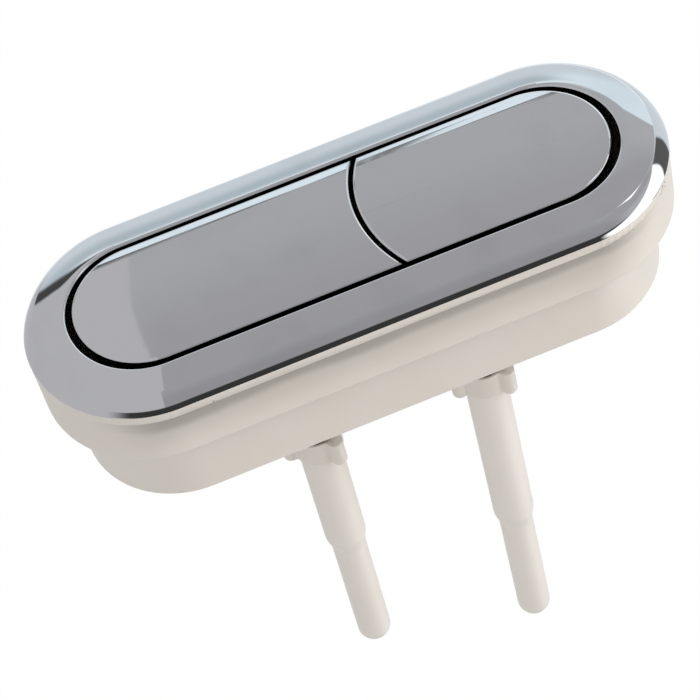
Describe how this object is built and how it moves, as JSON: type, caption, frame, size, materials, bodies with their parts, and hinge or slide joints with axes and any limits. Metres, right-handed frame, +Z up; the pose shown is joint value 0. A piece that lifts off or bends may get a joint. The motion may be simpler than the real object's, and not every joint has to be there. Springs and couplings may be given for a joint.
{
  "type": "dual flush push button cistern actuator",
  "caption": "Long oval dual flush actuator for a cistern lid: chrome bezel and split chrome buttons on a stepped white housing, with sprung plungers and stepped push rods below.",
  "frame": {"origin": "centre of the racetrack ledge under the collar, on the plane that rests on the cistern lid", "axes": "+Z up out of the lid, +X along the actuator towards the half flush button, +Y to the back"},
  "size_m": [0.15, 0.054, 0.1806],
  "materials": {
    "chrome_plate": "polished",
    "white_plastic": "satin",
    "rod_plastic": "satin",
    "dark_plastic": "matt",
    "steel": "bright"
  },
  "bodies": {
    "root": {"bezel": "chrome_plate", "housing": "white_plastic", "full_flush_spring": "steel", "half_flush_spring": "steel"},
    "full_flush_push": {"full_flush_button": "chrome_plate", "full_flush_plunger": "white_plastic", "full_flush_cap_screws": "steel", "full_flush_retaining_clip": "steel", "full_flush_stem": "dark_plastic", "full_flush_lock_nut": "white_plastic", "full_flush_push_rod": "rod_plastic"},
    "half_flush_push": {"half_flush_button": "chrome_plate", "half_flush_plunger": "white_plastic", "half_flush_cap_screws": "steel", "half_flush_retaining_clip": "steel", "half_flush_stem": "dark_plastic", "half_flush_lock_nut": "white_plastic", "half_flush_push_rod": "rod_plastic"}
  },
  "joints": [
    {"name": "full_flush_press", "type": "slide", "parent": "root", "child": "full_flush_push", "axis": [0, 0, -1], "range_m": [0, 0.008], "stiffness_N_per_m": 400, "springref_m": -0.006, "deforming": ["full_flush_spring"]},
    {"name": "half_flush_press", "type": "slide", "parent": "root", "child": "half_flush_push", "axis": [0, 0, -1], "range_m": [0, 0.008], "stiffness_N_per_m": 400, "springref_m": -0.006, "deforming": ["half_flush_spring"]}
  ]
}
